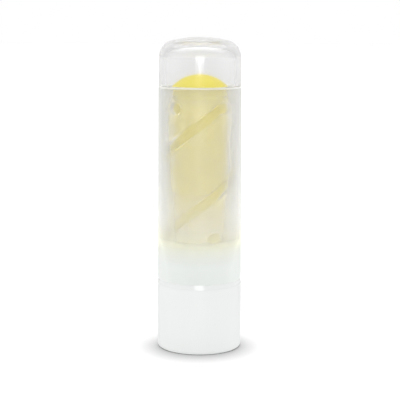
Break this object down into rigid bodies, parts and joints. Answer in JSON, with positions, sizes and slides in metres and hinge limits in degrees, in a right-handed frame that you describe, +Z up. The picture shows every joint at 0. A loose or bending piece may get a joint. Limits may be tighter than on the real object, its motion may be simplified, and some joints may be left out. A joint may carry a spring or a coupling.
{
  "type": "sunscreen stick",
  "caption": "Twist-up sunscreen stick: yellow balm in a clear cam mechanism under a tall cap with a clear dome and frosted skirt, on a plain white base.",
  "frame": {"origin": "centre of the flat foot of the base", "axes": "+Z up along the axis of the stick, -Y towards the side that the picture shows"},
  "size_m": [0.017, 0.017, 0.0632],
  "materials": {
    "base": "satin moulded white",
    "collar": "satin moulded white",
    "guide_tube": "translucent moulded",
    "cam_tube": "translucent moulded",
    "elevator_cup": "natural moulded",
    "sunscreen_bullet": "poured waxy balm",
    "cap": "clear dome over a frosted skirt"
  },
  "bodies": {
    "stick": {"base": "base", "collar": "collar", "guide_tube": "guide_tube"},
    "cam": {"cam_tube": "cam_tube"},
    "elevator": {"elevator_cup": "elevator_cup", "sunscreen_bullet": "sunscreen_bullet"},
    "lid": {"cap": "cap"}
  },
  "joints": [
    {"name": "twist", "type": "hinge", "parent": "stick", "child": "cam", "pos_m": [0, 0, 0.0205], "axis": [0, 0, -1], "range_deg": [0, 288]},
    {"name": "elevator_slide", "type": "slide", "parent": "stick", "child": "elevator", "axis": [0, 0, 1], "range_m": [0, 0.02632]},
    {"name": "cap_slide", "type": "slide", "parent": "elevator", "child": "lid", "axis": [0, 0, 1], "range_m": [0, 0.045]}
  ],
  "couplings": [
    {"joint": "twist", "follows": "elevator_slide", "rad_per_m": 190.98}
  ]
}
